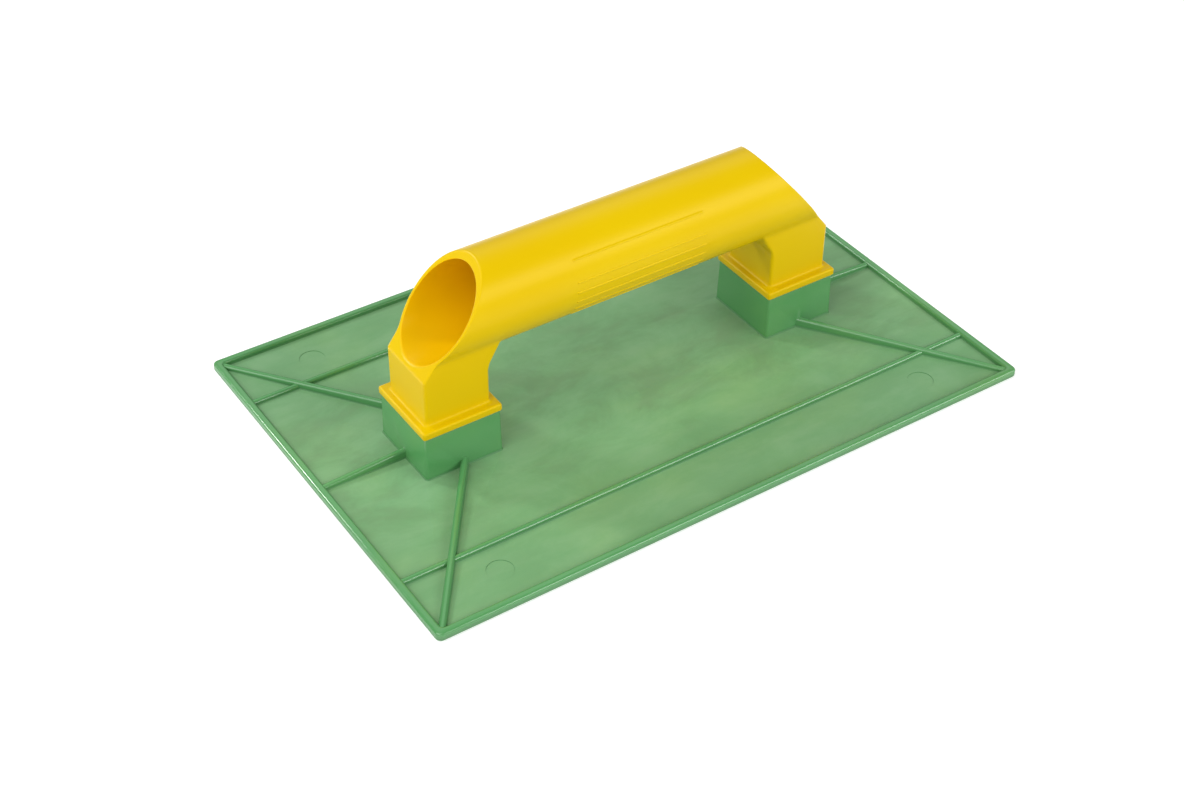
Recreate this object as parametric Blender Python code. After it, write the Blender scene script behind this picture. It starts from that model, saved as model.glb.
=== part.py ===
"""Plastic float used as a sanding block: a ribbed plate, an open tubular handle and its two screws.

Frame: +X along the plate and the grip, +Y across the plate, +Z up. The origin is the centre of the sole,
the flat underside of the plate. Everything is in metres.
"""

import math

import bmesh
import bpy
from mathutils import Matrix, Vector

# ---- plate ------------------------------------------------------------------------------------------
PLATE_LENGTH = 0.270
PLATE_WIDTH = 0.182
CORNER_RADIUS = 0.0025
WEB_THICKNESS = 0.0017
RIM_HEIGHT = 0.0039
RIM_WIDTH = 0.0034
EDGE_RADIUS = 0.0006

RIB_WIDTH = 0.0026
RIB_TOP = 0.0034            # height of a rib's top above the sole, at the rim
RIB_ROOT_TOP = 0.0057       # and where it meets a pedestal
LONG_RIB_Y = 0.0597
RIB_OVERLAP = 0.0015        # how far a rib runs into the rim or a pedestal

EJECTOR_MARK_XY = (0.099, 0.073)
EJECTOR_MARK_RADIUS = 0.0053
EJECTOR_MARK_DEPTH = 0.0002

# ---- pedestals of the plate, sockets for the handle -------------------------------------------------
LEG_X = 0.0804              # distance of each leg and pedestal from the middle
PEDESTAL_SIZE = (0.0330, 0.0340)
PEDESTAL_DRAFT = 0.0004     # how much wider a pedestal is at its foot, on each side
PEDESTAL_TOP = 0.0210
PEDESTAL_WALL = 0.0036
PEDESTAL_EDGE_RADIUS = 0.0010
SOCKET_FLOOR = 0.0020
FIT_GAP = 0.0003            # clearance between touching pieces

# ---- screws and their holes -------------------------------------------------------------------------
SEAT_HEIGHT = 0.0040        # depth of the counterbore that hides a screw head
SEAT_TOP = 0.0065           # top of the plate's boss around the counterbore
SEAT_BOSS_RADIUS = 0.0078
COUNTERBORE_RADIUS = 0.0048
CLEARANCE_HOLE_RADIUS = 0.0024
SCREW_HEAD_RADIUS = 0.0040
SCREW_HEAD_HEIGHT = 0.0026
SCREW_LENGTH = 0.022
SCREW_RADIUS = 0.0020
SCREW_CORE_RADIUS = 0.0014
SCREW_TIP_LENGTH = 0.003
SCREW_THREAD_PITCH = 0.0018
CROSS_RECESS = (0.0042, 0.0009, 0.0016)

# ---- handle -----------------------------------------------------------------------------------------
TUBE_HALF_WIDTH = 0.0180        # the grip is slightly oval, taller than it is wide
TUBE_HALF_HEIGHT = 0.0192
TUBE_AXIS_HEIGHT = 0.0635
BORE_RADIUS = 0.0167
BORE_AXIS_HEIGHT = 0.0629
CUT_FOOT = (0.0943, 0.0446)     # x and z where the oblique cut leaves the leg's outer face
CUT_HEAD_X = 0.0637             # x where it reaches the top of the tube
LEG_SIZE = 0.0278
LEG_WALL = 0.0026
HAUNCH = (0.0056, 0.0410, 0.0503)   # how far the haunch stands out, its lowest and its highest point
FLANGE_BOTTOM = PEDESTAL_TOP + FIT_GAP
FLANGE_SIZE = (0.0342, 0.0352)
FLANGE_THICKNESS = 0.0032
FLANGE_ROUNDING = 0.0008
SPIGOT_WALL = 0.0022
CAVITY_TOP = 0.0435             # top of the hollow inside a leg
BOSS_RADIUS = 0.0050
BOSS_WEB = 0.0018               # thickness of the webs that tie the boss to the leg
PILOT_RADIUS = 0.0023
PILOT_TOP = 0.0290

RIDGE_ANGLES = (37.5, 10.5, -3, -16.5, -30, -43.5)  # degrees above the horizontal, on each side of the grip
RIDGE_LENGTH = 0.059
RIDGE_RADIUS = 0.0006
RIDGE_HEIGHT = 0.0003

OVERSHOOT = 0.002               # how far a cutter runs past what it cuts
FINE_SEGMENTS = 64
COARSE_SEGMENTS = 24
SIDES = (("left", -1), ("right", 1))


def clear_scene():
    for obj in list(bpy.data.objects):
        bpy.data.objects.remove(obj, do_unlink=True)
    for collection in list(bpy.data.collections):
        bpy.data.collections.remove(collection)


def new_collection(name):
    collection = bpy.data.collections.new(name)
    bpy.context.scene.collection.children.link(collection)
    return collection


def mesh_object(name, bm, collection):
    bmesh.ops.recalc_face_normals(bm, faces=bm.faces)
    mesh = bpy.data.meshes.new(name)
    bm.to_mesh(mesh)
    bm.free()
    obj = bpy.data.objects.new(name, mesh)
    collection.objects.link(obj)
    return obj


def bevel_edges(bm, width, segments, wanted):
    edges = [edge for edge in bm.edges if wanted(edge)]
    bmesh.ops.bevel(bm, geom=edges, offset=width, segments=segments, profile=0.5, affect='EDGES')


def is_vertical(edge):
    direction = edge.verts[1].co - edge.verts[0].co
    return abs(direction.z) > 0.9 * direction.length


def box_mesh(low, high):
    low, high = Vector(low), Vector(high)
    bm = bmesh.new()
    bmesh.ops.create_cube(bm, size=1.0)
    bmesh.ops.scale(bm, vec=high - low, verts=bm.verts)
    bmesh.ops.translate(bm, vec=(low + high) / 2, verts=bm.verts)
    return bm


def centred_box(size_x, size_y, bottom, top, x=0.0):
    return box_mesh((x - size_x / 2, -size_y / 2, bottom), (x + size_x / 2, size_y / 2, top))


def upright_cylinder(radius, bottom, top, x=0.0, y=0.0):
    bm = bmesh.new()
    bmesh.ops.create_cone(bm, cap_ends=True, segments=COARSE_SEGMENTS, radius1=radius, radius2=radius,
                          depth=top - bottom)
    bmesh.ops.translate(bm, vec=(x, y, (bottom + top) / 2), verts=bm.verts)
    return bm


def lengthwise_cylinder(half_width, half_height, length, y=0.0, z=0.0, segments=FINE_SEGMENTS):
    bm = bmesh.new()
    bmesh.ops.create_cone(bm, cap_ends=True, segments=segments, radius1=1, radius2=1, depth=length)
    bmesh.ops.rotate(bm, matrix=Matrix.Rotation(math.radians(90), 3, 'Y'), verts=bm.verts)
    bmesh.ops.scale(bm, vec=(1, half_width, half_height), verts=bm.verts)
    bmesh.ops.translate(bm, vec=(0, y, z), verts=bm.verts)
    return bm


def prism_along_y(outline, width):
    """A closed solid whose outline is a list of (x, z) points, centred on y = 0."""
    bm = bmesh.new()
    face = bm.faces.new([bm.verts.new((x, -width / 2, z)) for x, z in outline])
    swept = bmesh.ops.extrude_face_region(bm, geom=[face])
    moved = [item for item in swept["geom"] if isinstance(item, bmesh.types.BMVert)]
    bmesh.ops.translate(bm, vec=(0, width, 0), verts=moved)
    return bm


def combine(target, bm, operation, tools):
    """Keep a Boolean of target with the shape in bm on target, and the shape as a hidden cutter."""
    number = len(target.modifiers) + 1
    cutter = mesh_object(f"{target.name}_{operation.lower()}_{number:02d}", bm, tools)
    cutter.hide_render = True
    cutter.display_type = 'WIRE'
    modifier = target.modifiers.new(cutter.name, 'BOOLEAN')
    modifier.operation = operation
    modifier.solver = 'EXACT'
    modifier.object = cutter


def shade(obj, material):
    obj.data.materials.append(material)
    obj.data.shade_smooth()
    obj.data.set_sharp_from_angle(angle=math.radians(30))


def plastic(name, colour, roughness, metallic=0.0):
    material = bpy.data.materials.new(name)
    material.use_nodes = True
    shader = material.node_tree.nodes["Principled BSDF"]
    shader.inputs["Base Color"].default_value = (*colour, 1.0)
    shader.inputs["Roughness"].default_value = roughness
    shader.inputs["Metallic"].default_value = metallic
    return material


# ---- the plate ---------------------------------------------------------------------------------------

def plate_slab():
    bm = centred_box(PLATE_LENGTH, PLATE_WIDTH, 0, RIM_HEIGHT)
    bevel_edges(bm, CORNER_RADIUS, 5, is_vertical)
    bevel_edges(bm, EDGE_RADIUS, 2, lambda edge: not is_vertical(edge) and edge.calc_face_angle() > 1)
    return bm


def plate_pocket():
    bm = centred_box(PLATE_LENGTH - 2 * RIM_WIDTH, PLATE_WIDTH - 2 * RIM_WIDTH,
                     WEB_THICKNESS, RIM_HEIGHT + OVERSHOOT)
    bevel_edges(bm, CORNER_RADIUS - EDGE_RADIUS, 3, is_vertical)
    return bm


def rib(start, end, start_top, end_top):
    """A straight rib between two points of the plate, rising from inside the web to its own top line."""
    start, end = Vector((*start, 0)), Vector((*end, 0))
    along = (end - start).normalized()
    across = Vector((-along.y, along.x, 0)) * RIB_WIDTH / 2
    bm = box_mesh((0, -1, 0), (1, 1, 1))
    for vert in bm.verts:
        at_end, side, upper = vert.co.x > 0.5, vert.co.y, vert.co.z > 0.5
        top = end_top if at_end else start_top
        base = end if at_end else start
        vert.co = base + across * side + Vector((0, 0, top if upper else WEB_THICKNESS / 2))
    bevel_edges(bm, EDGE_RADIUS, 2,
                lambda edge: abs((edge.verts[1].co - edge.verts[0].co).normalized().xy.dot(along.xy)) > 0.99
                and min(vert.co.z for vert in edge.verts) > WEB_THICKNESS)
    return bm


def extended(start, end, amount):
    """The same stretch, made longer by amount at both ends."""
    step = (Vector(end) - Vector(start)).normalized() * amount
    return Vector(start) - step, Vector(end) + step


def add_ribs(plate, tools):
    inner_x = PLATE_LENGTH / 2 - RIM_WIDTH
    inner_y = PLATE_WIDTH / 2 - RIM_WIDTH
    pedestal_face_x = LEG_X + PEDESTAL_SIZE[0] / 2
    pedestal_face_y = PEDESTAL_SIZE[1] / 2
    for side_y in (-1, 1):
        start, end = extended((-inner_x, side_y * LONG_RIB_Y), (inner_x, side_y * LONG_RIB_Y), RIB_OVERLAP)
        combine(plate, rib(start, end, RIB_TOP, RIB_TOP), 'UNION', tools)
    for _, side_x in SIDES:
        start, end = extended((side_x * inner_x, 0), (side_x * pedestal_face_x, 0), RIB_OVERLAP)
        combine(plate, rib(start, end, RIB_TOP, RIB_ROOT_TOP), 'UNION', tools)
        for side_y in (-1, 1):
            start, end = extended((side_x * inner_x, side_y * inner_y),
                                  (side_x * LEG_X, side_y * pedestal_face_y), RIB_OVERLAP)
            combine(plate, rib(start, end, RIB_TOP, RIB_ROOT_TOP), 'UNION', tools)


def pedestal(x):
    size_x, size_y = PEDESTAL_SIZE
    bm = centred_box(size_x, size_y, WEB_THICKNESS / 2, PEDESTAL_TOP, x)
    for vert in bm.verts:
        if vert.co.z < WEB_THICKNESS:
            vert.co.x += math.copysign(PEDESTAL_DRAFT, vert.co.x - x)
            vert.co.y += math.copysign(PEDESTAL_DRAFT, vert.co.y)
    bevel_edges(bm, PEDESTAL_EDGE_RADIUS, 3, is_vertical)
    return bm


def socket(x):
    size_x, size_y = (size - 2 * PEDESTAL_WALL for size in PEDESTAL_SIZE)
    return centred_box(size_x, size_y, SOCKET_FLOOR, PEDESTAL_TOP + OVERSHOOT, x)


def build_plate(parts, tools, material):
    plate = mesh_object("float_plate", plate_slab(), parts)
    combine(plate, plate_pocket(), 'DIFFERENCE', tools)
    add_ribs(plate, tools)
    for side_x in (-1, 1):
        for side_y in (-1, 1):
            mark = upright_cylinder(EJECTOR_MARK_RADIUS, WEB_THICKNESS - EJECTOR_MARK_DEPTH,
                                    WEB_THICKNESS + EJECTOR_MARK_DEPTH, side_x * EJECTOR_MARK_XY[0],
                                    side_y * EJECTOR_MARK_XY[1])
            combine(plate, mark, 'DIFFERENCE', tools)
    for _, side_x in SIDES:
        x = side_x * LEG_X
        combine(plate, pedestal(x), 'UNION', tools)
        combine(plate, socket(x), 'DIFFERENCE', tools)
        combine(plate, upright_cylinder(SEAT_BOSS_RADIUS, SOCKET_FLOOR / 2, SEAT_TOP, x), 'UNION', tools)
        combine(plate, upright_cylinder(COUNTERBORE_RADIUS, -OVERSHOOT, SEAT_HEIGHT, x), 'DIFFERENCE', tools)
        combine(plate, upright_cylinder(CLEARANCE_HOLE_RADIUS, -OVERSHOOT, SEAT_TOP + OVERSHOOT, x),
                'DIFFERENCE', tools)
    shade(plate, material)


# ---- the handle --------------------------------------------------------------------------------------

def leg_solid(x):
    return centred_box(LEG_SIZE, LEG_SIZE, FLANGE_BOTTOM + FLANGE_THICKNESS / 2, TUBE_AXIS_HEIGHT, x)


def flange(x):
    size_x, size_y = FLANGE_SIZE
    top = FLANGE_BOTTOM + FLANGE_THICKNESS
    bm = centred_box(size_x, size_y, FLANGE_BOTTOM, top, x)
    bevel_edges(bm, PEDESTAL_EDGE_RADIUS, 3, is_vertical)
    bevel_edges(bm, FLANGE_ROUNDING, 3,
                lambda edge: all(vert.co.z > top - FIT_GAP / 2 for vert in edge.verts)
                and not is_vertical(edge))
    return bm


def haunch(side_x):
    reach, low, high = HAUNCH
    inner_face = LEG_X - LEG_SIZE / 2
    outline = [(inner_face + LEG_WALL, low), (inner_face, low), (inner_face - reach, high),
               (inner_face - reach, TUBE_AXIS_HEIGHT), (inner_face + LEG_WALL, TUBE_AXIS_HEIGHT)]
    return prism_along_y([(side_x * x, z) for x, z in outline], LEG_SIZE)


def spigot(x):
    size_x, size_y = (size - 2 * (PEDESTAL_WALL + FIT_GAP) for size in PEDESTAL_SIZE)
    return centred_box(size_x, size_y, SOCKET_FLOOR + FIT_GAP, FLANGE_BOTTOM + FLANGE_THICKNESS / 3, x)


def leg_cavity(x):
    size_x, size_y = (size - 2 * (PEDESTAL_WALL + FIT_GAP + SPIGOT_WALL) for size in PEDESTAL_SIZE)
    return centred_box(size_x, size_y, SOCKET_FLOOR - OVERSHOOT, CAVITY_TOP, x)


def boss_webs(x):
    """Two thin walls that cross on the boss and tie it to the four sides of the leg."""
    bottom, top = SEAT_TOP + 4 * FIT_GAP, CAVITY_TOP + LEG_WALL / 2
    reach = LEG_SIZE - LEG_WALL
    yield centred_box(reach, BOSS_WEB, bottom, top, x)
    yield centred_box(BOSS_WEB, reach, bottom, top, x)


def oblique_cut(side_x):
    """Everything beyond the plane that slopes from the leg's outer face to the top of the tube."""
    foot_x, foot_z = CUT_FOOT
    head_z = TUBE_AXIS_HEIGHT + TUBE_HALF_HEIGHT
    run = (foot_x - CUT_HEAD_X) / (head_z - foot_z)
    far_x = foot_x + TUBE_HALF_WIDTH
    high_z = head_z + OVERSHOOT
    outline = [(foot_x, foot_z), (far_x, foot_z), (far_x, high_z), (CUT_HEAD_X - run * OVERSHOOT, high_z)]
    return prism_along_y([(side_x * x, z) for x, z in outline], 2 * (TUBE_HALF_WIDTH + OVERSHOOT))


def grip_ridges():
    """Low ridges along the middle of the grip, on both sides of it."""
    sunk = RIDGE_RADIUS - RIDGE_HEIGHT
    for side_y in (-1, 1):
        for degrees in RIDGE_ANGLES:
            angle = math.radians(degrees)
            y = side_y * (TUBE_HALF_WIDTH - sunk) * math.cos(angle)
            z = TUBE_AXIS_HEIGHT + (TUBE_HALF_HEIGHT - sunk) * math.sin(angle)
            yield lengthwise_cylinder(RIDGE_RADIUS, RIDGE_RADIUS, RIDGE_LENGTH, y, z, segments=8)


def build_handle(parts, tools, material):
    full_length = 2 * (CUT_FOOT[0] - OVERSHOOT / 4)
    tube = lengthwise_cylinder(TUBE_HALF_WIDTH, TUBE_HALF_HEIGHT, full_length, z=TUBE_AXIS_HEIGHT)
    handle = mesh_object("handle", tube, parts)
    for _, side_x in SIDES:
        x = side_x * LEG_X
        for solid in (leg_solid(x), haunch(side_x), flange(x), spigot(x)):
            combine(handle, solid, 'UNION', tools)
        combine(handle, leg_cavity(x), 'DIFFERENCE', tools)
        boss = upright_cylinder(BOSS_RADIUS, SEAT_TOP + FIT_GAP, CAVITY_TOP + LEG_WALL / 2, x)
        combine(handle, boss, 'UNION', tools)
        for web in boss_webs(x):
            combine(handle, web, 'UNION', tools)
        pilot = upright_cylinder(PILOT_RADIUS, SEAT_TOP - OVERSHOOT, PILOT_TOP, x)
        combine(handle, pilot, 'DIFFERENCE', tools)
    bore = lengthwise_cylinder(BORE_RADIUS, BORE_RADIUS, full_length + 2 * OVERSHOOT, z=BORE_AXIS_HEIGHT)
    combine(handle, bore, 'DIFFERENCE', tools)
    for _, side_x in SIDES:
        combine(handle, oblique_cut(side_x), 'DIFFERENCE', tools)
    for ridge in grip_ridges():
        combine(handle, ridge, 'UNION', tools)
    shade(handle, material)


# ---- the screws --------------------------------------------------------------------------------------

def screw_outline():
    """Half the section of a screw, from the top of its tip down to the middle of its head."""
    seat = SEAT_HEIGHT - FIT_GAP
    tip = seat + SCREW_LENGTH
    points = [(0, tip), (SCREW_CORE_RADIUS, tip - SCREW_TIP_LENGTH)]
    crest = tip - SCREW_TIP_LENGTH
    while crest - SCREW_THREAD_PITCH > seat + SCREW_THREAD_PITCH:
        points += [(SCREW_RADIUS, crest - SCREW_THREAD_PITCH / 2),
                   (SCREW_CORE_RADIUS, crest - SCREW_THREAD_PITCH)]
        crest -= SCREW_THREAD_PITCH
    points += [(SCREW_CORE_RADIUS, seat), (SCREW_HEAD_RADIUS, seat)]
    dome_steps = 4
    for step in range(1, dome_steps + 1):
        angle = math.radians(90 * step / dome_steps)
        points.append((SCREW_HEAD_RADIUS * math.cos(angle), seat - SCREW_HEAD_HEIGHT * math.sin(angle) ** 0.8))
    return points


def build_screws(parts, tools, material):
    length, width, depth = CROSS_RECESS
    lowest = SEAT_HEIGHT - FIT_GAP - SCREW_HEAD_HEIGHT
    for side, side_x in SIDES:
        bm = bmesh.new()
        verts = [bm.verts.new((radius, 0, z)) for radius, z in screw_outline()]
        edges = [bm.edges.new(pair) for pair in zip(verts, verts[1:])]
        bmesh.ops.spin(bm, geom=verts + edges, axis=(0, 0, 1), cent=(0, 0, 0), angle=math.tau,
                       steps=COARSE_SEGMENTS, use_merge=True)
        bmesh.ops.remove_doubles(bm, verts=bm.verts, dist=0.00001)
        screw = mesh_object(f"handle_screw_{side}", bm, parts)
        screw.location = (side_x * LEG_X, 0, 0)
        for size_x, size_y in ((length, width), (width, length)):
            slot = centred_box(size_x, size_y, lowest - OVERSHOOT, lowest + depth, side_x * LEG_X)
            combine(screw, slot, 'DIFFERENCE', tools)
        shade(screw, material)


def main():
    clear_scene()
    parts = new_collection("plastic_float")
    tools = new_collection("cutters")
    green = plastic("green_plastic", (0.17, 0.40, 0.18), 0.42)
    yellow = plastic("yellow_plastic", (0.83, 0.60, 0.003), 0.32)
    steel = plastic("zinc_plated_steel", (0.62, 0.62, 0.60), 0.30, metallic=1.0)
    build_plate(parts, tools, green)
    build_handle(parts, tools, yellow)
    build_screws(parts, tools, steel)


main()
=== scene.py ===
"""Looks of the float: moulded green plate, yellow tubular handle and two zinc plated screws.

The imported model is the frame. The plate and the handle are rebuilt at the same size with the fillets,
rounded edges and fine relief of moulded plastic, and the screws get real threads. Metres throughout.
"""

import math

import bmesh
import bpy
import numpy as np
from mathutils import Matrix, Vector


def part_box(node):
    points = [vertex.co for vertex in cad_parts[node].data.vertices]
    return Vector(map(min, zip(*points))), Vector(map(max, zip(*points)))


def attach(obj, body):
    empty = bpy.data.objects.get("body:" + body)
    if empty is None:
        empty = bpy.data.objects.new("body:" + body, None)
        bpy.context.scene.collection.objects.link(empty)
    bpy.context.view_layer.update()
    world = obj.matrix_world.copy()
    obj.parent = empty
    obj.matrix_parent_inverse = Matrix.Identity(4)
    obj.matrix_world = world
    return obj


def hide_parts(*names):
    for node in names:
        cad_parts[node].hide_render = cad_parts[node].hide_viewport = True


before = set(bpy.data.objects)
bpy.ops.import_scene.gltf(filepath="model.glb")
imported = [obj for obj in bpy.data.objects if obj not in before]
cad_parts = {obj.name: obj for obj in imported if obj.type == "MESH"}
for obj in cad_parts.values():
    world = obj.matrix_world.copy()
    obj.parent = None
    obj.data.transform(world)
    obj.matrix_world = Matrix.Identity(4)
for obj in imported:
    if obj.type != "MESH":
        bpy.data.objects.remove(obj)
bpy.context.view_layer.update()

MM = 0.001

# ---- handle: sizes that the frame doesn't give ---------------------------------------------------------
LEG_X = 80.4 * MM               # distance of each leg, pedestal and screw from the middle
LEG_SIZE = 27.8 * MM
LEG_EDGE = 1.2 * MM
TUBE_HALF_WIDTH = 18.0 * MM
TUBE_HALF_HEIGHT = 19.2 * MM
BORE_RADIUS = 16.7 * MM
BORE_DROP = 0.6 * MM            # how far the bore's axis lies below the tube's
CUT_FOOT_Z = 44.6 * MM          # where the oblique cut leaves the leg's outer face
CUT_HEAD_X = 63.7 * MM          # where it reaches the top of the tube
SLANT_FROM_X = 56 * MM          # the tube's mesh leans over to the cut from here on
LIP_RADIUS = 0.45 * MM
CREASE_FILLET = 1.0 * MM        # between the leg and the tube
HAUNCH_REACH = 5.6 * MM
HAUNCH_LOW_Z = 41.0 * MM
HAUNCH_HIGH_Z = 50.3 * MM
HAUNCH_FILLET = 0.9 * MM
FLANGE_THICKNESS = 3.2 * MM
FLANGE_WIDTH = 35.2 * MM
FLANGE_EDGE = 0.95 * MM
FLANGE_FILLET = 1.2 * MM
JOINT_EDGE = 0.45 * MM          # on both sides of the joint between flange and pedestal
JOINT_GAP = 0.3 * MM
SPIGOT_HALF = (12.6 * MM, 13.1 * MM)
SPIGOT_WALL = 2.2 * MM
CAVITY_TOP = 43.5 * MM
BOSS_RADIUS = 5.0 * MM
BOSS_BOTTOM_Z = 6.8 * MM
BOSS_WEB = 1.8 * MM
WEB_BOTTOM_Z = 7.7 * MM
PILOT_RADIUS = 2.3 * MM
PILOT_TOP_Z = 29.0 * MM

# Where the ridges run along each side of the grip, in degrees above the horizontal.
RIDGE_ANGLES = (37.5, 10.5, -3, -16.5, -30, -43.5)
RIDGE_LENGTH = 59 * MM
RIDGE_HALF_WIDTH = 0.6 * MM
RIDGE_HEIGHT = 0.24 * MM

# The grid that a quarter of the handle is meshed on, in mm: its start, then the end and the step of each
# stretch. It is fine where the handle is rounded and coarse where it is straight.
GRID_X = (-2, (2, 4), (54, 4), (70, 0.7), (92.8, 0.95), (94.9, 0.21), (98.4, 0.45))
GRID_Y = (-0.4, (0.4, 0.8), (12, 0.85), (14.6, 0.45), (18.5, 0.5))
GRID_Z = (1.6, (21.1, 1.6), (25.9, 0.4), (40, 1.4), (54, 0.65), (79, 0.8), (83.3, 0.5))

# ---- plate ---------------------------------------------------------------------------------------------
CORNER_RADIUS = 2.5 * MM
WEB_THICKNESS = 1.7 * MM
RIM_HEIGHT = 3.9 * MM           # heights are counted from the sole
RIM_WIDTH = 3.4 * MM
RIM_ROUNDING = 1.1 * MM
RIB_WIDTH = 2.6 * MM
RIB_ROUNDING = 1.2 * MM
RIB_TOP = 3.4 * MM
RIB_ROOT_TOP = 5.7 * MM         # where a rib meets a pedestal
LONG_RIB_Y = 59.7 * MM
RIB_OVERLAP = 1.5 * MM
PEDESTAL_SIZE = (33.0 * MM, 34.0 * MM)
PEDESTAL_DRAFT = 0.4 * MM
PEDESTAL_WALL = 3.6 * MM
PEDESTAL_EDGE = 1.1 * MM
SOCKET_FLOOR = 2.0 * MM
SEAT_BOSS_RADIUS = 7.8 * MM
SEAT_TOP = 6.5 * MM
SEAT_HEIGHT = 4.0 * MM
COUNTERBORE_RADIUS = 4.8 * MM
CLEARANCE_RADIUS = 2.4 * MM
MARK_XY = (99 * MM, 73 * MM)    # ejector marks, one in each quarter
MARK_RADIUS = 5.3 * MM
MARK_DEPTH = 0.2 * MM
ROOT_FILLET = 0.45 * MM         # where ribs, rim and pedestals rise from the web
SOLE_EDGE = 1.4 * MM

# ---- meshing -------------------------------------------------------------------------------------------
SHARP_ANGLE = 42                # degrees: edges that turn more than this stay sharp
FLAT_ANGLE = 0.1                # radians: an edge that turns less than this isn't rounded
ROOT_ANGLE = 1.0                # radians: a root that turns more than this hasn't got its fillet yet
OVERSHOOT = 2 * MM              # how far a cutter runs past what it cuts
SLIVER_SIZE = 0.001 * MM        # faces narrower than this are closed up
TOLERANCE = 0.01 * MM           # points nearer than this count as being in one place

# ---- screws --------------------------------------------------------------------------------------------
SCREW_HEAD_RADIUS = 4.0 * MM
SCREW_HEAD_HEIGHT = 2.6 * MM
SCREW_HEAD_CURVE = 0.7          # 1 is a round head, 0 a square one
SCREW_CORE_RADIUS = 1.4 * MM
SCREW_THREAD_DEPTH = 0.6 * MM
SCREW_PITCH = 1.8 * MM
SCREW_TIP_LENGTH = 3.0 * MM
SCREW_SEGMENTS = 36
SCREW_RINGS_PER_TURN = 12
CROSS_LENGTH = 4.2 * MM
CROSS_WIDTH = 0.9 * MM
CROSS_DEPTH = 1.6 * MM

# ---- colours -------------------------------------------------------------------------------------------
GREEN_DEEP = (0.080, 0.285, 0.090)
GREEN_LIGHT = (0.098, 0.318, 0.106)
GREEN_WARM = (0.135, 0.340, 0.085)
# The next colour is for stains, and also for a painted shadow under the handle.
GREEN_STAIN_AND_SHADOW = (0.085, 0.190, 0.065)
# Painted shade for the sides of ribs, rim and pedestals near their roots.
GREEN_ROOT_SHADE = (0.040, 0.150, 0.045)
# A scuffed whitish cast on the web, partly a painted sheen of reflection.
GREEN_HAZE_AND_SHEEN = (0.54, 0.66, 0.47)
YELLOW = (0.685, 0.470, 0.0)
YELLOW_DEEP = (0.675, 0.450, 0.0)
# A brighter orange for the bore: painted bounce light inside the tube.
YELLOW_BORE_BOUNCE_LIGHT = (0.82, 0.490, 0.0)
YELLOW_SHEEN = (0.34, 0.33, 0.16, 1)
ZINC_GREY = (0.56, 0.57, 0.58)
ZINC_STRAW = (0.72, 0.71, 0.66)
PAPER = (0.78, 0.78, 0.78)
PAPER_LIGHT = (0.80, 0.80, 0.80)


# ---- signed distances, negative inside -----------------------------------------------------------------

def box_distance(points, low, high, radius):
    """A box between two corners, with rounded edges."""
    centre = (np.array(low) + np.array(high)) / 2
    half = (np.array(high) - np.array(low)) / 2
    beyond = np.abs(points - centre) - half + radius
    outside = np.linalg.norm(np.maximum(beyond, 0), axis=-1)
    return outside + np.minimum(beyond.max(axis=-1), 0) - radius


def lengthwise_tube_distance(points, half_width, half_height, z):
    """An endless oval bar along X at height z. Exact near its surface only."""
    y, height = points[..., 1], points[..., 2] - z
    share = np.hypot(y / half_width, height / half_height)
    steepness = np.hypot(y / half_width ** 2, height / half_height ** 2)
    return share * (share - 1) / np.maximum(steepness, 1e-9)


def join(a, b, fillet):
    """Union whose inner corner is a fillet of that radius."""
    corner = np.hypot(np.maximum(fillet - a, 0), np.maximum(fillet - b, 0))
    return np.maximum(fillet, np.minimum(a, b)) - corner


def overlap(a, b, rounding):
    """Intersection whose outer edge has that radius."""
    return -join(-a, -b, rounding)


# ---- meshing a signed distance -------------------------------------------------------------------------

def grid_lines(start, *stretches):
    """Coordinates from start on, where each stretch has an end and about that step. Taken in mm."""
    lines = [start * MM]
    for end, step in stretches:
        count = max(1, round((end * MM - lines[-1]) / (step * MM)))
        lines += list(np.linspace(lines[-1], end * MM, count + 1)[1:])
    return np.array(lines)


def gradient(distance, points):
    """Slope of the distance along x, y and z."""
    small = 0.02 * MM
    slopes = []
    for axis in range(3):
        step = np.zeros(3)
        step[axis] = small
        slopes.append((distance(points + step) - distance(points - step)) / (2 * small))
    return np.stack(slopes, axis=-1)


def onto_surface(distance, points, rounds=4):
    """Points moved down the slope until the distance is nil."""
    least_steepness = 0.05
    for _ in range(rounds):
        slope = gradient(distance, points)
        steepness = np.maximum((slope ** 2).sum(axis=-1), least_steepness)
        points = points - slope * (distance(points) / steepness)[:, None]
    return points


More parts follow.
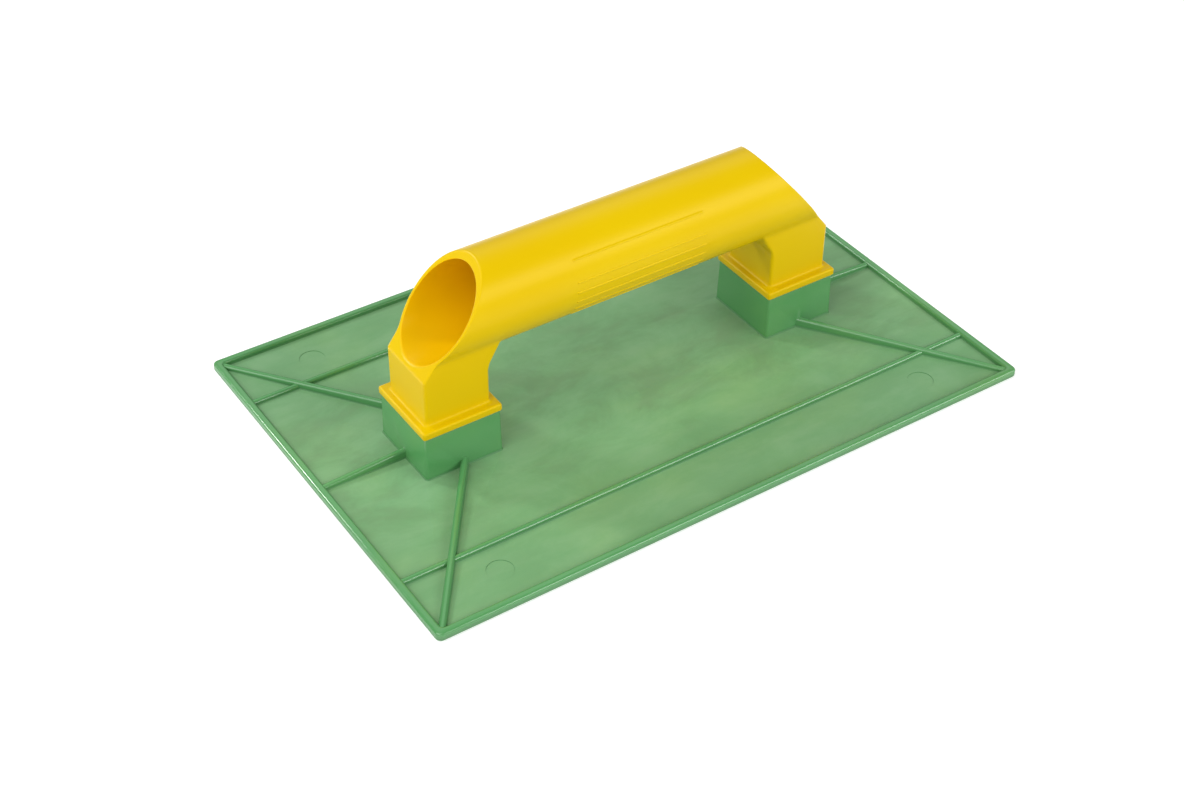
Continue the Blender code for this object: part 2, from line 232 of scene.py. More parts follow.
def surface_net(distance, lines):
    """One point for each grid cell that the surface crosses, and one quad for each such grid edge."""
    points = np.stack(np.meshgrid(*lines, indexing='ij'), axis=-1)
    values = distance(points)
    inside = values < 0
    cells = tuple(size - 1 for size in values.shape)
    total = np.zeros(cells + (3,))
    crossings = np.zeros(cells)
    for axis in range(3):
        others = [other for other in range(3) if other != axis]
        near = [slice(None)] * 3
        far = [slice(None)] * 3
        near[axis], far[axis] = slice(0, -1), slice(1, None)
        near, far = tuple(near), tuple(far)
        crossed = inside[near] != inside[far]
        share = np.where(crossed, values[near] / np.where(crossed, values[near] - values[far], 1), 0)
        place = points[near] + (points[far] - points[near]) * share[..., None]
        for shift_a in (0, 1):
            for shift_b in (0, 1):
                part = [slice(None)] * 3
                for other, shift in zip(others, (shift_a, shift_b)):
                    part[other] = slice(shift, values.shape[other] - 1 + shift)
                hit = crossed[tuple(part)]
                crossings += hit
                total += place[tuple(part)] * hit[..., None]
    active = crossings > 0
    number = np.full(cells, -1)
    number[active] = np.arange(active.sum())
    vertices = total[active] / crossings[active][:, None]
    quads = []
    for axis in range(3):
        u, v = (axis + 1) % 3, (axis + 2) % 3
        ordered = np.moveaxis(inside, (axis, u, v), (0, 1, 2))
        names = np.moveaxis(number, (axis, u, v), (0, 1, 2))
        entering = ordered[:-1, 1:-1, 1:-1] != ordered[1:, 1:-1, 1:-1]
        i, j, k = np.nonzero(entering)
        quad = np.stack([names[i, j, k], names[i, j + 1, k], names[i, j + 1, k + 1], names[i, j, k + 1]],
                        axis=-1)
        outward = ordered[i, j + 1, k + 1]
        quad[~outward] = quad[~outward][:, ::-1]
        quads.append(quad)
    return vertices, np.concatenate(quads)


# ---- mesh helpers --------------------------------------------------------------------------------------

def link(name, bm):
    """A new object in the scene, made from bm."""
    mesh = bpy.data.meshes.new(name)
    bmesh.ops.recalc_face_normals(bm, faces=bm.faces)
    bm.to_mesh(mesh)
    bm.free()
    obj = bpy.data.objects.new(name, mesh)
    bpy.context.scene.collection.objects.link(obj)
    return obj


def bake_modifiers(obj):
    """Put the modifiers' result in the object's own mesh."""
    evaluated = obj.evaluated_get(bpy.context.evaluated_depsgraph_get())
    mesh = bpy.data.meshes.new_from_object(evaluated)
    obj.modifiers.clear()
    obj.data = mesh


def carve(obj, bm, operation):
    """A Boolean of obj with the shape in bm, applied at once."""
    tool = link("tool", bm)
    modifier = obj.modifiers.new("boolean", 'BOOLEAN')
    modifier.operation = operation
    modifier.solver = 'EXACT'
    modifier.object = tool
    bake_modifiers(obj)
    bpy.data.objects.remove(tool)


def block(low, high):
    """A box between two corners."""
    low, high = Vector(low), Vector(high)
    bm = bmesh.new()
    bmesh.ops.create_cube(bm, size=1.0)
    bmesh.ops.scale(bm, vec=high - low, verts=bm.verts)
    bmesh.ops.translate(bm, vec=(low + high) / 2, verts=bm.verts)
    return bm


def disc(radius, bottom, top, x=0.0, y=0.0, segments=48):
    """An upright cylinder."""
    bm = bmesh.new()
    bmesh.ops.create_cone(bm, cap_ends=True, segments=segments, radius1=radius, radius2=radius,
                          depth=top - bottom)
    bmesh.ops.translate(bm, vec=(x, y, (bottom + top) / 2), verts=bm.verts)
    return bm


def is_vertical(edge):
    """A test for upright edges, or nearly so."""
    direction = edge.verts[1].co - edge.verts[0].co
    return abs(direction.z) > 0.9 * direction.length


def lies_at(height):
    """A test for level edges at that height."""
    return lambda edge: all(abs(vert.co.z - height) < TOLERANCE for vert in edge.verts)


def round_edges(bm, wanted, radius, segments):
    """Round the edges that pass the test wanted."""
    edges = [edge for edge in bm.edges if edge.calc_face_angle(0) > FLAT_ANGLE and wanted(edge)]
    bmesh.ops.bevel(bm, geom=edges, offset=radius, segments=segments, profile=0.5, affect='EDGES')


def reshape(obj, wanted, radius, segments):
    """Round some edges of a finished object."""
    bm = bmesh.new()
    bm.from_mesh(obj.data)
    bmesh.ops.dissolve_limit(bm, angle_limit=math.radians(0.5), verts=bm.verts, edges=bm.edges)
    round_edges(bm, wanted, radius, segments)
    bm.to_mesh(obj.data)
    bm.free()


def collapse_slivers(obj):
    """Close up the needle-like faces that Booleans leave where two shapes meet along one line."""
    bm = bmesh.new()
    bm.from_mesh(obj.data)
    bmesh.ops.dissolve_degenerate(bm, dist=SLIVER_SIZE, edges=bm.edges)
    bm.to_mesh(obj.data)
    bm.free()


def dress(obj, material, node):
    """Shade a finished piece and let it stand for a node of the frame."""
    collapse_slivers(obj)
    obj.data.shade_smooth()
    obj.data.set_sharp_from_angle(angle=math.radians(SHARP_ANGLE))
    obj.data.materials.clear()
    obj.data.materials.append(material)
    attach(obj, "root")
    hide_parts(node)


# ---- the handle ----------------------------------------------------------------------------------------

HANDLE_LOW, HANDLE_HIGH = (np.array(corner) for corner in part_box("handle"))
PLATE_LOW, PLATE_HIGH = (np.array(corner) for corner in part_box("float_plate"))
TUBE_AXIS_Z = HANDLE_HIGH[2] - TUBE_HALF_HEIGHT
BORE_AXIS_Z = TUBE_AXIS_Z - BORE_DROP
LEG_OUTER_X = LEG_X + LEG_SIZE / 2
LEG_INNER_X = LEG_X - LEG_SIZE / 2
FLANGE_BOTTOM_Z = PLATE_HIGH[2] + JOINT_GAP


def leg_distance(points):
    """The leg and its haunch, from the flange to the middle of the tube, running on past the cut."""
    x, y, z = np.moveaxis(points, -1, 0)
    outward = Vector((-(HAUNCH_HIGH_Z - HAUNCH_LOW_Z), -HAUNCH_REACH)).normalized()
    slope = (x - LEG_INNER_X) * outward[0] + (z - HAUNCH_LOW_Z) * outward[1]
    haunch = overlap(LEG_INNER_X - HAUNCH_REACH - x, slope, LEG_EDGE)
    profile = join(LEG_INNER_X - x, haunch, HAUNCH_FILLET)
    profile = np.maximum(profile, np.maximum(FLANGE_BOTTOM_Z - z, z - TUBE_AXIS_Z))
    return overlap(profile, np.abs(y) - LEG_SIZE / 2, LEG_EDGE)


def flange_distance(points):
    """The square flange under the leg, cut off at the joint."""
    reach_x = HANDLE_HIGH[0] - LEG_X
    low = (LEG_X - reach_x, -FLANGE_WIDTH / 2, FLANGE_BOTTOM_Z - FLANGE_THICKNESS)
    high = (LEG_X + reach_x, FLANGE_WIDTH / 2, FLANGE_BOTTOM_Z + FLANGE_THICKNESS)
    block_distance = box_distance(points, low, high, FLANGE_EDGE)
    return overlap(block_distance, FLANGE_BOTTOM_Z - points[..., 2], JOINT_EDGE)


def leg_hollow_distance(points):
    """The hollow inside the leg, around the screw boss and its two crossing webs."""
    x, y, z = np.moveaxis(points, -1, 0)
    half_x, half_y = (size - SPIGOT_WALL for size in SPIGOT_HALF)
    cavity = box_distance(points, (LEG_X - half_x, -half_y, -LEG_SIZE),
                          (LEG_X + half_x, half_y, CAVITY_TOP), 0)
    boss = np.maximum(np.hypot(x - LEG_X, y) - BOSS_RADIUS, BOSS_BOTTOM_Z - z)
    webs = np.maximum(np.minimum(np.abs(x - LEG_X), np.abs(y)) - BOSS_WEB / 2, WEB_BOTTOM_Z - z)
    pilot = np.maximum(np.hypot(x - LEG_X, y) - PILOT_RADIUS, z - PILOT_TOP_Z)
    return np.minimum(np.maximum(cavity, -np.minimum(boss, webs)), pilot)


def handle_distance(points):
    """Half of the handle, at +X, while its tube still ends upright above the leg's outer face."""
    x, z = points[..., 0], points[..., 2]
    tube = lengthwise_tube_distance(points, TUBE_HALF_WIDTH, TUBE_HALF_HEIGHT, TUBE_AXIS_Z)
    bore = lengthwise_tube_distance(points, BORE_RADIUS, BORE_RADIUS, BORE_AXIS_Z)
    body = join(tube, leg_distance(points), CREASE_FILLET)
    body = np.maximum(body, -bore)
    end_edge = np.interp(z, (CAVITY_TOP, HAUNCH_HIGH_Z), (LEG_EDGE, LIP_RADIUS))
    body = overlap(body, x - LEG_OUTER_X, end_edge)
    body = join(body, flange_distance(points), FLANGE_FILLET)
    half_x, half_y = SPIGOT_HALF
    spigot = box_distance(points, (LEG_X - half_x, -half_y, HANDLE_LOW[2]),
                          (LEG_X + half_x, half_y, CAVITY_TOP), JOINT_EDGE)
    return np.maximum(np.minimum(body, spigot), -leg_hollow_distance(points))


def slant_ends(points):
    """Move the upright end of the tube onto the oblique cut. The tube's own section doesn't change."""
    x, z = points[:, 0], points[:, 2]
    run = (LEG_OUTER_X - CUT_HEAD_X) / (HANDLE_HIGH[2] - CUT_FOOT_Z)
    cut_x = LEG_OUTER_X - run * np.maximum(z - CUT_FOOT_Z, 0)
    still_x = np.interp(z, (HAUNCH_HIGH_Z + CREASE_FILLET, TUBE_AXIS_Z),
                        (LEG_INNER_X + HAUNCH_FILLET, SLANT_FROM_X))
    lip = 3 * LIP_RADIUS
    share = (x - still_x) / (LEG_OUTER_X - lip - still_x)
    squeezed = still_x + share * (cut_x - lip - still_x)
    points[:, 0] = np.where(share < 0, x, np.where(share < 1, squeezed, cut_x - LEG_OUTER_X + x))
    return points


def even_out(distance, points, quads, still, rounds=2):
    """Slide the points along the surface, half way to the middle of their neighbours."""
    edges = np.concatenate([quads[:, (a, b)] for a, b in ((0, 1), (1, 2), (2, 3), (3, 0))])
    for _ in range(rounds):
        total = np.zeros_like(points)
        count = np.zeros(len(points))
        for a, b in ((0, 1), (1, 0)):
            np.add.at(total, edges[:, a], points[edges[:, b]])
            np.add.at(count, edges[:, a], 1)
        middle = total / np.maximum(count, 1)[:, None]
        step = (middle - points) / 2
        step[still] = 0
        points = onto_surface(distance, points + step, 2)
    return points


def handle_mesh():
    """The quarter of the handle at +X and +Y, open where it meets the other quarters."""
    lines = (grid_lines(*GRID_X), grid_lines(*GRID_Y), grid_lines(*GRID_Z))
    points, quads = surface_net(handle_distance, lines)
    on_x = points[:, 0] < lines[0][1]
    on_y = points[:, 1] < lines[1][1]
    points = even_out(handle_distance, onto_surface(handle_distance, points), quads, on_x | on_y)
    points[on_x, 0] = 0
    points[on_y, 1] = 0
    points = slant_ends(points)
    mesh = bpy.data.meshes.new("handle_moulding")
    mesh.from_pydata(points.tolist(), [], quads.tolist())
    return mesh


def ridge_mesh(side, degrees):
    """One low ridge, a round bar that is more than half sunk in the side of the grip."""
    angle = math.radians(degrees)
    bm = bmesh.new()
    bmesh.ops.create_cone(bm, cap_ends=True, segments=12, radius1=RIDGE_HALF_WIDTH,
                          radius2=RIDGE_HALF_WIDTH, depth=RIDGE_LENGTH)
    sunk = RIDGE_HALF_WIDTH - RIDGE_HEIGHT
    place = Matrix.Translation((0, side * (TUBE_HALF_WIDTH - sunk) * math.cos(angle),
                                TUBE_AXIS_Z + (TUBE_HALF_HEIGHT - sunk) * math.sin(angle)))
    bmesh.ops.transform(bm, matrix=place @ Matrix.Rotation(math.pi / 2, 4, 'Y'), verts=bm.verts)
    return bm


def build_handle(material):
    """The quarter mirrored to a whole handle, with the grip's ridges added."""
    handle = bpy.data.objects.new("handle_moulding", handle_mesh())
    bpy.context.scene.collection.objects.link(handle)
    mirror = handle.modifiers.new("quarter_to_whole", 'MIRROR')
    mirror.use_axis = (True, True, False)
    mirror.merge_threshold = TOLERANCE
    bake_modifiers(handle)
    for side in (-1, 1):
        for degrees in RIDGE_ANGLES:
            carve(handle, ridge_mesh(side, degrees), 'UNION')
    dress(handle, material, "handle")


# ---- the plate -----------------------------------------------------------------------------------------

def slab():
    """The plate with its raised rim, before anything stands on it."""
    plate = link("plate_moulding", block(PLATE_LOW, (*PLATE_HIGH[:2], RIM_HEIGHT)))
    reshape(plate, is_vertical, CORNER_RADIUS, 8)
    inset = Vector((RIM_WIDTH, RIM_WIDTH, 0))
    pocket = block(Vector((*PLATE_LOW[:2], WEB_THICKNESS)) + inset,
                   Vector((*PLATE_HIGH[:2], RIM_HEIGHT + OVERSHOOT)) - inset)
    round_edges(pocket, is_vertical, CORNER_RADIUS / 2, 5)
    carve(plate, pocket, 'DIFFERENCE')
    reshape(plate, lies_at(RIM_HEIGHT), RIM_ROUNDING, 6)
    reshape(plate, lies_at(WEB_THICKNESS), ROOT_FILLET, 3)
    reshape(plate, lies_at(0), SOLE_EDGE, 6)
    return plate


def rib_profile(height):
    """Half of a rib's section, as (across, up) from the web: a flared root, a wall and a rounded top."""
    half = RIB_WIDTH / 2
    points = [(half + ROOT_FILLET, -WEB_THICKNESS / 2)]
    for angle in np.linspace(0.1, 0.5, 4) * math.pi:
        points.append((half + ROOT_FILLET * (1 - math.sin(angle)), ROOT_FILLET * (1 - math.cos(angle))))
    for angle in np.linspace(0, 0.5, 8) * math.pi:
        points.append((half - RIB_ROUNDING * (1 - math.cos(angle)),
                       height - RIB_ROUNDING * (1 - math.sin(angle))))
    return points


def rib(start, end, start_top, end_top):
    """A rib between two points of the plate, whose height changes evenly from one to the other."""
    start, end = Vector((*start, 0)), Vector((*end, 0))
    along = (end - start).normalized()
    across = Vector((-along.y, along.x, 0))
    bm = bmesh.new()
    rings = []
    for place, top in ((start - along * RIB_OVERLAP, start_top), (end + along * RIB_OVERLAP, end_top)):
        half = rib_profile(top - WEB_THICKNESS)
        section = half + [(-side, up) for side, up in reversed(half)]
        rings.append([bm.verts.new(place + across * side + Vector((0, 0, WEB_THICKNESS + up)))
                      for side, up in section])
    for number in range(len(rings[0])):
        bm.faces.new((rings[0][number - 1], rings[0][number], rings[1][number], rings[1][number - 1]))
    for ring in rings:
        bm.faces.new(ring)
    return bm


def ribs():
    """Two long ribs beside the handle, and a middle one and two diagonals from each pedestal to the rim."""
    inner_x, inner_y = PLATE_HIGH[0] - RIM_WIDTH, PLATE_HIGH[1] - RIM_WIDTH
    for side_y in (-1, 1):
        yield rib((-inner_x, side_y * LONG_RIB_Y), (inner_x, side_y * LONG_RIB_Y), RIB_TOP, RIB_TOP)
    for side_x in (-1, 1):
        face_x = side_x * (LEG_X + PEDESTAL_SIZE[0] / 2)
        yield rib((side_x * inner_x, 0), (face_x, 0), RIB_TOP, RIB_ROOT_TOP)
        for side_y in (-1, 1):
            yield rib((side_x * inner_x, side_y * inner_y), (side_x * LEG_X, side_y * PEDESTAL_SIZE[1] / 2),
                      RIB_TOP, RIB_ROOT_TOP)


def pedestal(x):
    """The block under a leg, a little wider at the foot than at the top."""
    half_x, half_y = (size / 2 for size in PEDESTAL_SIZE)
    bm = block((x - half_x, -half_y, WEB_THICKNESS / 2), (x + half_x, half_y, PLATE_HIGH[2]))
    for vert in bm.verts:
        if vert.co.z < WEB_THICKNESS:
            vert.co.x += math.copysign(PEDESTAL_DRAFT, vert.co.x - x)
            vert.co.y += math.copysign(PEDESTAL_DRAFT, vert.co.y)
    round_edges(bm, is_vertical, PEDESTAL_EDGE, 6)
    round_edges(bm, lies_at(PLATE_HIGH[2]), JOINT_EDGE, 2)
    return bm


def socket(x):
    """The space in a pedestal that takes the leg's spigot."""
    half_x, half_y = (size / 2 - PEDESTAL_WALL for size in PEDESTAL_SIZE)
    return block((x - half_x, -half_y, SOCKET_FLOOR), (x + half_x, half_y, PLATE_HIGH[2] + OVERSHOOT))


def build_plate(material):
    """The slab with its pedestals, ribs, sockets, screw seats and ejector marks."""
    plate = slab()
    for x in (-LEG_X, LEG_X):
        carve(plate, pedestal(x), 'UNION')
    reshape(plate, lambda edge: lies_at(WEB_THICKNESS)(edge) and edge.calc_face_angle() > ROOT_ANGLE,
            ROOT_FILLET, 3)
    for shape in ribs():
        carve(plate, shape, 'UNION')
    for x in (-LEG_X, LEG_X):
        carve(plate, socket(x), 'DIFFERENCE')
        carve(plate, disc(SEAT_BOSS_RADIUS, SOCKET_FLOOR / 2, SEAT_TOP, x), 'UNION')
        carve(plate, disc(COUNTERBORE_RADIUS, -OVERSHOOT, SEAT_HEIGHT, x), 'DIFFERENCE')
        carve(plate, disc(CLEARANCE_RADIUS, -OVERSHOOT, SEAT_TOP + OVERSHOOT, x), 'DIFFERENCE')
    for side_x in (-1, 1):
        for side_y in (-1, 1):
            carve(plate, disc(MARK_RADIUS, WEB_THICKNESS - MARK_DEPTH, WEB_THICKNESS + OVERSHOOT,
                              side_x * MARK_XY[0], side_y * MARK_XY[1]), 'DIFFERENCE')
    dress(plate, material, "float_plate")


# ---- the screws ----------------------------------------------------------------------------------------

def screw_sections(low, high):
    """Height, radius and share of the thread's depth along a screw, from its head up to its tip."""
    seat = low + SCREW_HEAD_HEIGHT
    for angle in np.linspace(0, 0.5, 9) * math.pi:
        yield (seat - SCREW_HEAD_HEIGHT * abs(math.cos(angle)) ** SCREW_HEAD_CURVE,
               SCREW_HEAD_RADIUS * max(math.sin(angle), 0.02) ** SCREW_HEAD_CURVE, 0.0)
    yield seat, SCREW_CORE_RADIUS, 0.0
    step = SCREW_PITCH / SCREW_RINGS_PER_TURN
    for height in np.arange(seat + SCREW_PITCH / 4, high - step, step):
        to_tip = (high - height) / SCREW_TIP_LENGTH
        yield height, SCREW_CORE_RADIUS * min(1, to_tip), min(1, to_tip, (height - seat) / SCREW_PITCH)
    yield high, SCREW_CORE_RADIUS / 20, 0.0


def screw_mesh(x, low, high):
    """A pan headed screw with a helical thread, its head down."""
    bm = bmesh.new()
    rings = []
    for height, radius, share in screw_sections(low, high):
        ring = []
        for turn in np.arange(SCREW_SEGMENTS) / SCREW_SEGMENTS:
            phase = (height / SCREW_PITCH - turn) % 1
            reach = radius + share * SCREW_THREAD_DEPTH * max(0, 1 - 3 * abs(phase - 0.5))
            angle = turn * math.tau
            ring.append(bm.verts.new((x + reach * math.cos(angle), reach * math.sin(angle), height)))
        rings.append(ring)
    for lower, upper in zip(rings, rings[1:]):
        for number in range(SCREW_SEGMENTS):
            bm.faces.new((lower[number - 1], lower[number], upper[number], upper[number - 1]))
    bm.faces.new(rings[0])
    bm.faces.new(rings[-1])
    return bm


def build_screws(material):
    """Both screws, each with a cross recess in its head."""
    for side_x, node in ((-1, "handle_screw_left"), (1, "handle_screw_right")):
        low, high = (corner[2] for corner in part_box(node))
        x = side_x * LEG_X
        screw = link(f"{node}_threaded", screw_mesh(x, low, high))
        for size_x, size_y in ((CROSS_LENGTH, CROSS_WIDTH), (CROSS_WIDTH, CROSS_LENGTH)):
            slot = block((x - size_x / 2, -size_y / 2, low - OVERSHOOT),
                         (x + size_x / 2, size_y / 2, low + CROSS_DEPTH))
            carve(screw, slot, 'DIFFERENCE')
        dress(screw, material, node)


# ---- materials -----------------------------------------------------------------------------------------

class Nodes:
    """A material's node tree, with short calls for the nodes used here."""

    def __init__(self, name):
        self.material = bpy.data.materials.new(name)
        self.material.use_nodes = True
        self.tree = self.material.node_tree
        self.shader = self.tree.nodes["Principled BSDF"]
        self.place = self.tree.nodes.new("ShaderNodeTexCoord").outputs["Object"]

    def put(self, value, socket):
        """Link a node's output to a socket, or set the socket to a plain value."""
        if isinstance(value, bpy.types.NodeSocket):
            self.tree.links.new(value, socket)
        else:
            socket.default_value = value

    def noise(self, scale, detail=3.0, roughness=0.5, stretch=(1, 1, 1), offset=(0, 0, 0),
              distortion=0.0):
        """Noise from 0 to 1 with features of about 1 / scale metres, stretched along an axis."""
        mapping = self.tree.nodes.new("ShaderNodeMapping")
        self.put(self.place, mapping.inputs["Vector"])
        mapping.inputs["Scale"].default_value = stretch
        mapping.inputs["Location"].default_value = offset
        texture = self.tree.nodes.new("ShaderNodeTexNoise")
        self.put(mapping.outputs["Vector"], texture.inputs["Vector"])
        for socket, value in (("Scale", scale), ("Detail", detail), ("Roughness", roughness),
                              ("Distortion", distortion)):
            texture.inputs[socket].default_value = value
        return texture.outputs["Fac"]

    def ramp(self, value, low, high, to_low=0.0, to_high=1.0):
        """A smooth change from to_low to to_high while the value goes from low to high."""
        node = self.tree.nodes.new("ShaderNodeMapRange")
        node.interpolation_type = 'SMOOTHSTEP'
        for socket, number in (("From Min", low), ("From Max", high), ("To Min", to_low),
                               ("To Max", to_high)):
            node.inputs[socket].default_value = number
        self.put(value, node.inputs["Value"])
        return node.outputs["Result"]

    def mix(self, share, first, second):
        """The first colour with that share of the second."""
        node = self.tree.nodes.new("ShaderNodeMix")
        node.data_type = 'RGBA'
        self.put(share, node.inputs["Factor"])
        for value, socket in ((first, node.inputs[6]), (second, node.inputs[7])):
            self.put((*value, 1) if isinstance(value, tuple) else value, socket)
        return node.outputs[2]

    def maths(self, operation, first, second=0.0):
        """The operation's result for two values."""
        node = self.tree.nodes.new("ShaderNodeMath")
        node.operation = operation
        self.put(first, node.inputs[0])
        self.put(second, node.inputs[1])
        return node.outputs[0]

    def part(self, vector, axis):
        """One of a vector's three numbers."""
        node = self.tree.nodes.new("ShaderNodeSeparateXYZ")
        self.put(vector, node.inputs[0])
        return node.outputs[axis]

    def facing(self, axis):
        """The share of the surface's own direction that lies along an axis, from -1 to 1."""
        return self.part(self.tree.nodes.new("ShaderNodeNewGeometry").outputs["Normal"], axis)

    def bump(self, height, distance, strength=1.0, under=None):
        """A normal for fine relief, on top of another such relief if one is given."""
        node = self.tree.nodes.new("ShaderNodeBump")
        node.inputs["Distance"].default_value = distance
        node.inputs["Strength"].default_value = strength
        self.put(height, node.inputs["Height"])
        if under is not None:
            self.put(under, node.inputs["Normal"])
        return node.outputs["Normal"]


def green_plastic():
    """Satin green. The web and sole are mottled, stained and hazy; the whitening is partly a painted sheen,
    and the stains darken under the handle as a painted shadow. All that stands up is cleaner, with painted
    shade low on its sides.
    """
    nodes = Nodes("moulded_green")
    shader = nodes.shader
    height = nodes.part(nodes.place, "Z")
    from_middle = nodes.maths('ABSOLUTE', nodes.part(nodes.place, "Y"))
    flat = nodes.ramp(nodes.maths('ABSOLUTE', nodes.facing("Z")), 0.9, 0.99)
    on_web = nodes.ramp(height, WEB_THICKNESS + 0.05 * MM, WEB_THICKNESS + 0.25 * MM, 1.0, 0.0)
    flat_web = nodes.maths('MULTIPLY', flat, on_web)
    broad = nodes.noise(11, 2.0, 0.5, offset=(0.35, 0.1, 0))
    warm = nodes.noise(16, 3.0, 0.55, offset=(0.2, 0.7, 0))
    smudge = nodes.noise(34, 6.0, 0.66, stretch=(0.8, 1.2, 1), distortion=0.4)
    streak = nodes.noise(90, 4.0, 0.6, stretch=(0.3, 1.6, 1))
    speck = nodes.noise(900, 2.0, 0.5)
    colour = nodes.mix(nodes.ramp(broad, 0.35, 0.65), GREEN_DEEP, GREEN_LIGHT)
    colour = nodes.mix(nodes.maths('MULTIPLY', nodes.ramp(warm, 0.45, 0.7), 0.5), colour, GREEN_WARM)
    # Stains in smudges, strongest near the middle under the handle. That darkening towards the middle is a
    # painted shadow of the handle.
    stain_and_shadow = nodes.maths('MULTIPLY', nodes.ramp(smudge, 0.40, 0.66),
                       nodes.ramp(from_middle, 20 * MM, 65 * MM, 0.55, 0.15))
    colour = nodes.mix(nodes.maths('MULTIPLY', stain_and_shadow, flat_web), colour, GREEN_STAIN_AND_SHADOW)
    # Whitish cast on the flat web: partly scuffed plastic, partly a painted sheen reflecting the bright
    # surround.
    haze_and_sheen = nodes.maths('ADD', nodes.ramp(streak, 0.3, 0.75, 0.11, 0.16),
                       nodes.ramp(smudge, 0.25, 0.6, 0.08, 0.0))
    colour = nodes.mix(nodes.maths('MULTIPLY', haze_and_sheen, flat_web), colour, GREEN_HAZE_AND_SHEEN)
    # Painted shade: every side face is darkened near the web, as shade in the corners at the roots.
    in_corners = nodes.ramp(height, WEB_THICKNESS + 0.1 * MM, WEB_THICKNESS + 1.5 * MM, 0.6, 0.15)
    painted_root_shade = nodes.maths('MULTIPLY', in_corners, nodes.maths('SUBTRACT', 1.0, flat))
    colour = nodes.mix(painted_root_shade, colour, GREEN_ROOT_SHADE)
    nodes.put(colour, shader.inputs["Base Color"])
    smoother_on_top = nodes.ramp(height, WEB_THICKNESS + 0.3 * MM, WEB_THICKNESS + 1.1 * MM, 0.0, -0.34)
    rough = nodes.maths('ADD', nodes.ramp(smudge, 0.35, 0.7, 0.46, 0.56), smoother_on_top)
    nodes.put(rough, shader.inputs["Roughness"])
    shader.inputs["IOR"].default_value = 1.6
    wave = nodes.bump(streak, 0.03 * MM, 0.3)
    nodes.put(nodes.bump(speck, 0.01 * MM, 0.3, wave), shader.inputs["Normal"])
    return nodes.material


def in_bore(nodes):
    """One inside the tube's bore, zero on the outside of the handle."""
    across = nodes.part(nodes.place, "Y")
    up = nodes.maths('SUBTRACT', nodes.part(nodes.place, "Z"), BORE_AXIS_Z)
    square = nodes.maths('ADD', nodes.maths('MULTIPLY', across, across), nodes.maths('MULTIPLY', up, up))
    distance = nodes.maths('SQRT', square)
    return nodes.ramp(distance, BORE_RADIUS, BORE_RADIUS + LIP_RADIUS, 1.0, 0.0)


def yellow_plastic():
    """Semi-gloss yellow, a little uneven from the mould, with a fine orange-peel skin and a bore painted a
    brighter orange as bounce light.
    """
    nodes = Nodes("moulded_yellow")
    shader = nodes.shader
    broad = nodes.noise(18, 2.0, 0.5)
    flow = nodes.noise(60, 4.0, 0.55, stretch=(0.35, 1.5, 1.5))
    peel = nodes.noise(700, 2.0, 0.5)
    colour = nodes.mix(nodes.ramp(broad, 0.3, 0.7), YELLOW, YELLOW_DEEP)
    # Painted bounce light: the bore gets a brighter orange, standing in for light bouncing inside the tube.
    colour = nodes.mix(in_bore(nodes), colour, YELLOW_BORE_BOUNCE_LIGHT)
    nodes.put(colour, shader.inputs["Base Color"])
    nodes.put(nodes.ramp(flow, 0.3, 0.7, 0.31, 0.35), shader.inputs["Roughness"])
    shader.inputs["IOR"].default_value = 1.5
    shader.inputs["Specular Tint"].default_value = YELLOW_SHEEN
    wave = nodes.bump(flow, 0.02 * MM, 0.2)
    nodes.put(nodes.bump(peel, 0.015 * MM, 0.5, wave), shader.inputs["Normal"])
    return nodes.material


def zinc():
    """Plated steel, clouded with grey and straw."""
    nodes = Nodes("zinc_plated_steel")
    shader = nodes.shader
    cloud = nodes.noise(500, 3.0, 0.6)
    nodes.put(nodes.mix(nodes.ramp(cloud, 0.3, 0.7), ZINC_GREY, ZINC_STRAW), shader.inputs["Base Color"])
    nodes.put(nodes.ramp(cloud, 0.3, 0.7, 0.24, 0.4), shader.inputs["Roughness"])
    shader.inputs["Metallic"].default_value = 1.0
    nodes.put(nodes.bump(nodes.noise(3000, 2.0), 0.01 * MM, 0.4), shader.inputs["Normal"])
    return nodes.material


def paper():
    """Dull white for the floor."""
    nodes = Nodes("white_floor")
    shader = nodes.shader
    nodes.put(nodes.mix(nodes.noise(3.0), PAPER, PAPER_LIGHT), shader.inputs["Base Color"])
    shader.inputs["Emission Color"].default_value = (1, 1, 1, 1)
    shader.inputs["Emission Strength"].default_value = FLOOR_GLOW
    shader.inputs["Roughness"].default_value = 0.9
    shader.inputs["Specular IOR Level"].default_value = 0.1
    return nodes.material


# ---- stage, light and camera ---------------------------------------------------------------------------

FOCAL_LENGTH = 58.44
CAMERA_AZIMUTH = -33.994
CAMERA_ELEVATION = 39.253
CAMERA_ROLL = 0.536
CAMERA_DISTANCE = 0.76705
CAMERA_AIM = Vector((-0.01541, -0.00662, 0))
FLOOR_SIZE = 60
FLOOR_GLOW = 0.4                # keeps the floor pale where the softboxes don't reach
WORLD_LIGHT = 0.24
LIGHT_AIM = Vector((0, 0, 0.04))
SOFTBOXES = (
    # name, azimuth, elevation, distance, width, height, radiance
    ("left_softbox", -82, 38, 1.2, 0.95, 0.9, 2.5),
    ("top_softbox", -90, 72, 1.3, 1.2, 1.2, 1.0),
    ("fill_softbox", -35, 25, 1.4, 1.2, 0.8, 1.1),
    ("line_softbox", 33, 28, 1.3, 0.95, 0.52, 6.0),
    ("rim_softbox", -145, 33, 1.3, 0.18, 0.16, 60),
    ("far_softbox", 146, 42, 1.3, 1.0, 0.7, 0.7),
)


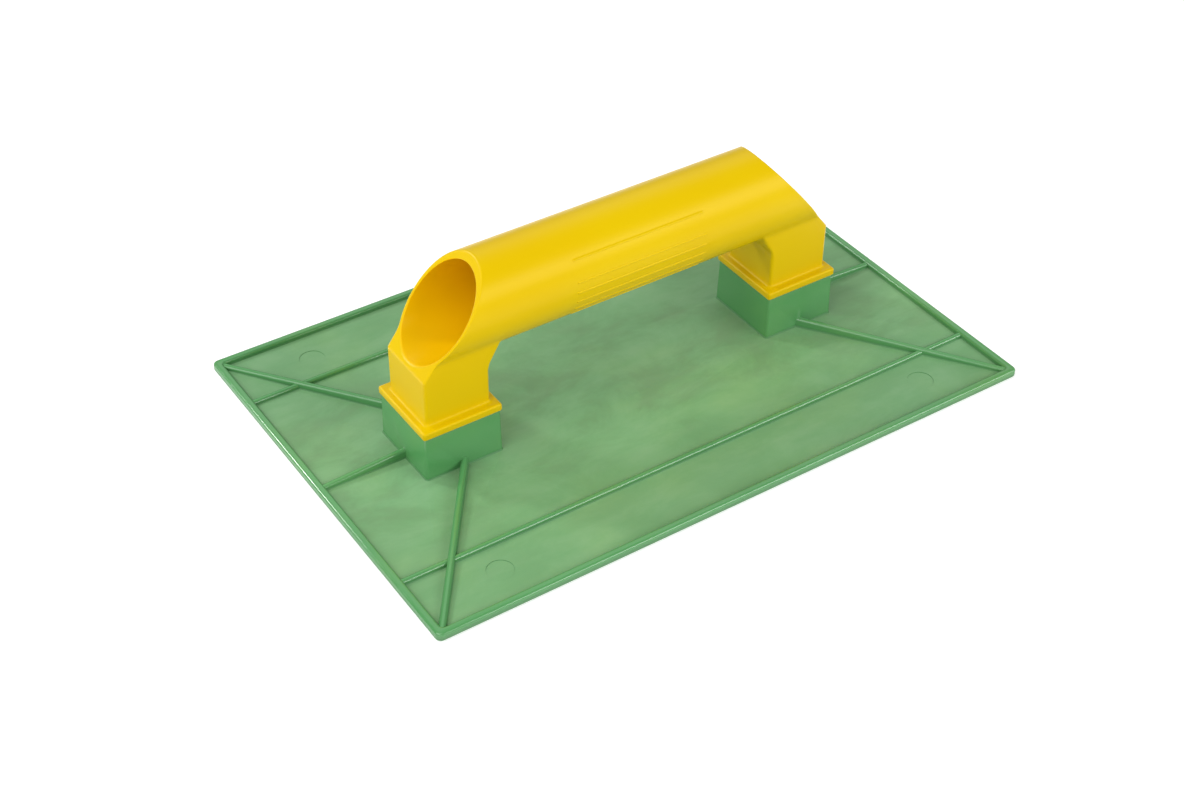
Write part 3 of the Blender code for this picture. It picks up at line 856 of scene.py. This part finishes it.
def towards(azimuth, elevation):
    """Direction from the object, in degrees. Azimuth 0 is on the -Y side and 90 on the +X side."""
    azimuth, elevation = math.radians(azimuth), math.radians(elevation)
    return Vector((math.sin(azimuth) * math.cos(elevation), -math.cos(azimuth) * math.cos(elevation),
                   math.sin(elevation)))


def build_camera():
    """The camera, where its direction is the way back from its aim."""
    back = towards(CAMERA_AZIMUTH, CAMERA_ELEVATION)
    level = back.to_track_quat('Z', 'Y').to_matrix().to_4x4()
    camera = bpy.data.objects.new("camera", bpy.data.cameras.new("camera"))
    bpy.context.scene.collection.objects.link(camera)
    camera.data.lens = FOCAL_LENGTH
    camera.data.sensor_width = 36
    camera.data.clip_start = 0.01
    camera.matrix_world = (Matrix.Translation(CAMERA_AIM + back * CAMERA_DISTANCE) @ level
                           @ Matrix.Rotation(math.radians(CAMERA_ROLL), 4, 'Z'))
    bpy.context.scene.camera = camera


def build_floor():
    """A floor wide enough that its edge is far off in a low view."""
    bpy.ops.mesh.primitive_plane_add(size=FLOOR_SIZE)
    floor = bpy.context.object
    floor.name = "floor"
    floor.data.materials.append(paper())


def softbox(name, azimuth, elevation, distance, width, height, radiance):
    """A rectangular light that faces the object."""
    light = bpy.data.lights.new(name, 'AREA')
    light.shape = 'RECTANGLE'
    light.size, light.size_y = width, height
    light.energy = radiance * math.pi * width * height
    direction = towards(azimuth, elevation)
    lamp = bpy.data.objects.new(name, light)
    lamp.location = LIGHT_AIM + direction * distance
    lamp.rotation_euler = direction.to_track_quat('Z', 'Y').to_euler()
    bpy.context.scene.collection.objects.link(lamp)


def build_lights():
    """An even white surround and the softboxes."""
    world = bpy.data.worlds.new("studio")
    bpy.context.scene.world = world
    world.use_nodes = True
    background = world.node_tree.nodes["Background"]
    background.inputs["Color"].default_value = (1, 1, 1, 1)
    background.inputs["Strength"].default_value = WORLD_LIGHT
    for box in SOFTBOXES:
        softbox(*box)


bpy.context.scene.view_settings.view_transform = 'Standard'
build_camera()
build_plate(green_plastic())
build_handle(yellow_plastic())
build_screws(zinc())
build_floor()
build_lights()
